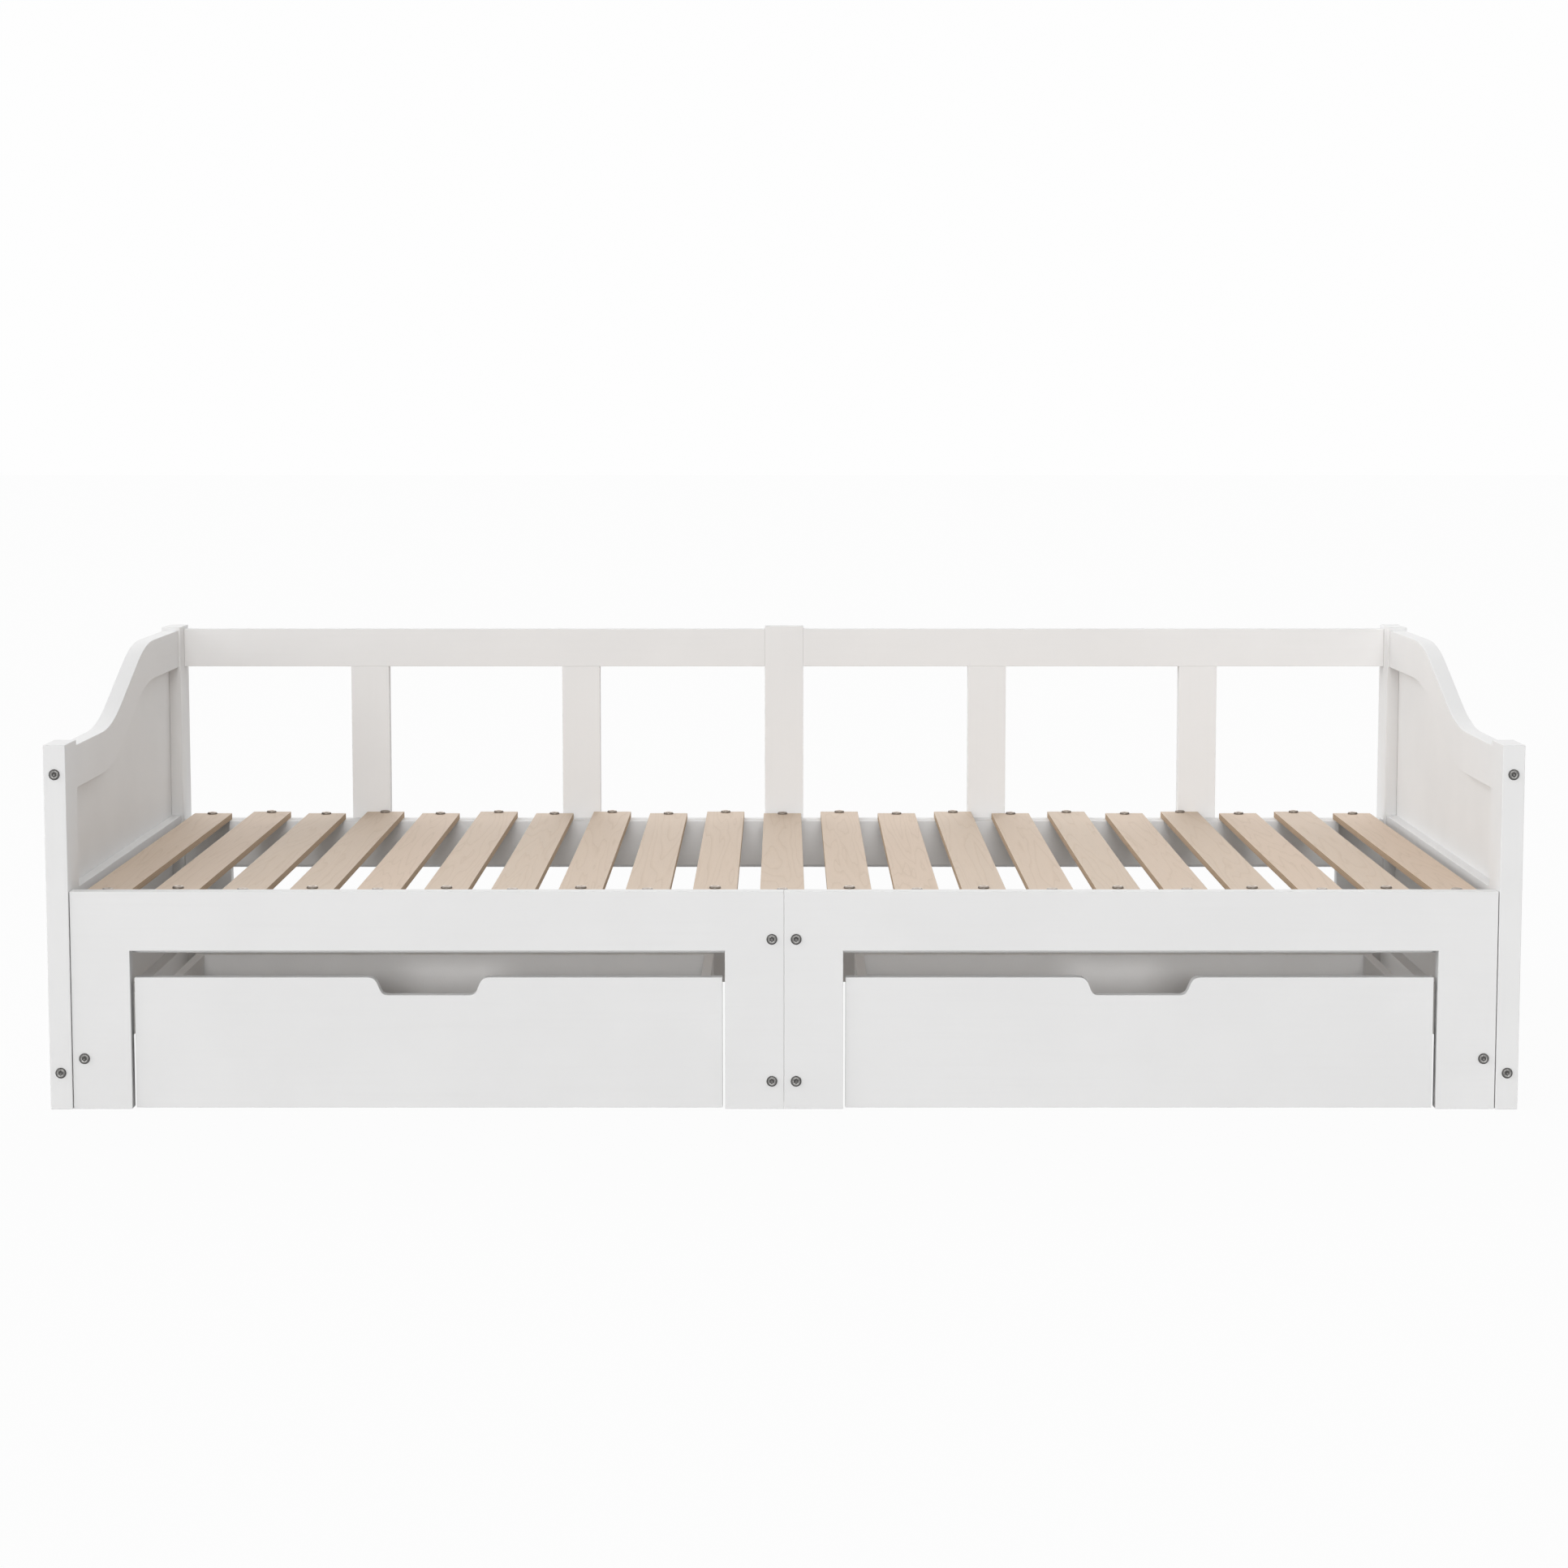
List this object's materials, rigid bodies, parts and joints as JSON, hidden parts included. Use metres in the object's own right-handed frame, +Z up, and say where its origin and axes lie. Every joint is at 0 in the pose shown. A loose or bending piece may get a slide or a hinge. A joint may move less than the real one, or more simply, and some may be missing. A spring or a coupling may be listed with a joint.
{
  "type": "storage daybed",
  "caption": "White wooden daybed with swept panelled ends and a barred back. Its front pulls out on interleaved slats to a double bed, over wheeled storage drawers.",
  "frame": {"origin": "on the floor, under the middle of the closed bed", "axes": "+X along the bed, towards its right end as seen from the front; +Y from the front, where the bed and the drawers pull out, towards the back; +Z up"},
  "size_m": [2.064, 1.034, 0.617],
  "materials": {
    "white_paint": "smooth satin white paint on boards with eased edges",
    "panel_white": "smooth matt white board",
    "bare_slat_wood": "planed pale hardwood ply, unpainted, with layered darker edges",
    "steel": "dull zinc-plated bolt heads and screw heads",
    "wheel_plastic": "moulded dark plastic"
  },
  "bodies": {
    "bed_frame": {"left_front_post": "white_paint", "left_rear_post": "white_paint", "left_end_top_rail": "white_paint", "left_end_ledge_rail": "white_paint", "left_end_bottom_rail": "white_paint", "left_end_panel": "panel_white", "right_front_post": "white_paint", "right_rear_post": "white_paint", "right_end_top_rail": "white_paint", "right_end_ledge_rail": "white_paint", "right_end_bottom_rail": "white_paint", "right_end_panel": "panel_white", "back_centre_post": "white_paint", "left_back_top_rail": "white_paint", "right_back_top_rail": "white_paint", "left_inner_back_stile": "white_paint", "left_outer_back_stile": "white_paint", "right_inner_back_stile": "white_paint", "right_outer_back_stile": "white_paint", "left_rear_frame": "white_paint", "right_rear_frame": "white_paint", "rear_bottom_rail": "white_paint", "front_slat_beam": "white_paint", "fixed_slat_02": "bare_slat_wood", "fixed_slat_04": "bare_slat_wood", "fixed_slat_06": "bare_slat_wood", "fixed_slat_08": "bare_slat_wood", "fixed_slat_10": "bare_slat_wood", "fixed_slat_12": "bare_slat_wood", "fixed_slat_14": "bare_slat_wood", "fixed_slat_16": "bare_slat_wood", "fixed_slat_18": "bare_slat_wood", "fixed_slat_20": "bare_slat_wood"},
    "pull_out_frame": {"left_pull_out_front": "white_paint", "right_pull_out_front": "white_paint", "pull_out_slat_batten": "white_paint", "pull_out_centre_cleat": "white_paint", "pull_out_tie_bar": "white_paint", "moving_slat_01": "bare_slat_wood", "moving_slat_03": "bare_slat_wood", "moving_slat_05": "bare_slat_wood", "moving_slat_07": "bare_slat_wood", "moving_slat_09": "bare_slat_wood", "moving_slat_11": "bare_slat_wood", "moving_slat_13": "bare_slat_wood", "moving_slat_15": "bare_slat_wood", "moving_slat_17": "bare_slat_wood", "moving_slat_19": "bare_slat_wood", "moving_slat_21": "bare_slat_wood"},
    "left_drawer": {"left_drawer_front": "white_paint", "left_drawer_box": "panel_white", "left_drawer_bottom": "panel_white"},
    "right_drawer": {"right_drawer_front": "white_paint", "right_drawer_box": "panel_white", "right_drawer_bottom": "panel_white"},
    "left_front_wheel_pair": {"left_drawer_front_wheels": "wheel_plastic"},
    "left_rear_wheel_pair": {"left_drawer_rear_wheels": "wheel_plastic"},
    "right_front_wheel_pair": {"right_drawer_front_wheels": "wheel_plastic"},
    "right_rear_wheel_pair": {"right_drawer_rear_wheels": "wheel_plastic"}
  },
  "joints": [
    {"name": "bed_extension", "type": "slide", "parent": "bed_frame", "child": "pull_out_frame", "axis": [0, -1, 0], "range_m": [0, 0.866]},
    {"name": "left_drawer_slide", "type": "slide", "parent": "pull_out_frame", "child": "left_drawer", "axis": [0, -1, 0], "range_m": [0, 0.4]},
    {"name": "right_drawer_slide", "type": "slide", "parent": "pull_out_frame", "child": "right_drawer", "axis": [0, -1, 0], "range_m": [0, 0.4]},
    {"name": "left_front_wheels_roll", "type": "hinge", "parent": "left_drawer", "child": "left_front_wheel_pair", "pos_m": [-0.49935, -0.4315, 0.018], "axis": [1, 0, 0], "continuous": true},
    {"name": "left_rear_wheels_roll", "type": "hinge", "parent": "left_drawer", "child": "left_rear_wheel_pair", "pos_m": [-0.49935, -0.1655, 0.018], "axis": [1, 0, 0], "continuous": true},
    {"name": "right_front_wheels_roll", "type": "hinge", "parent": "right_drawer", "child": "right_front_wheel_pair", "pos_m": [0.49935, -0.4315, 0.018], "axis": [1, 0, 0], "continuous": true},
    {"name": "right_rear_wheels_roll", "type": "hinge", "parent": "right_drawer", "child": "right_rear_wheel_pair", "pos_m": [0.49935, -0.1655, 0.018], "axis": [1, 0, 0], "continuous": true}
  ]
}
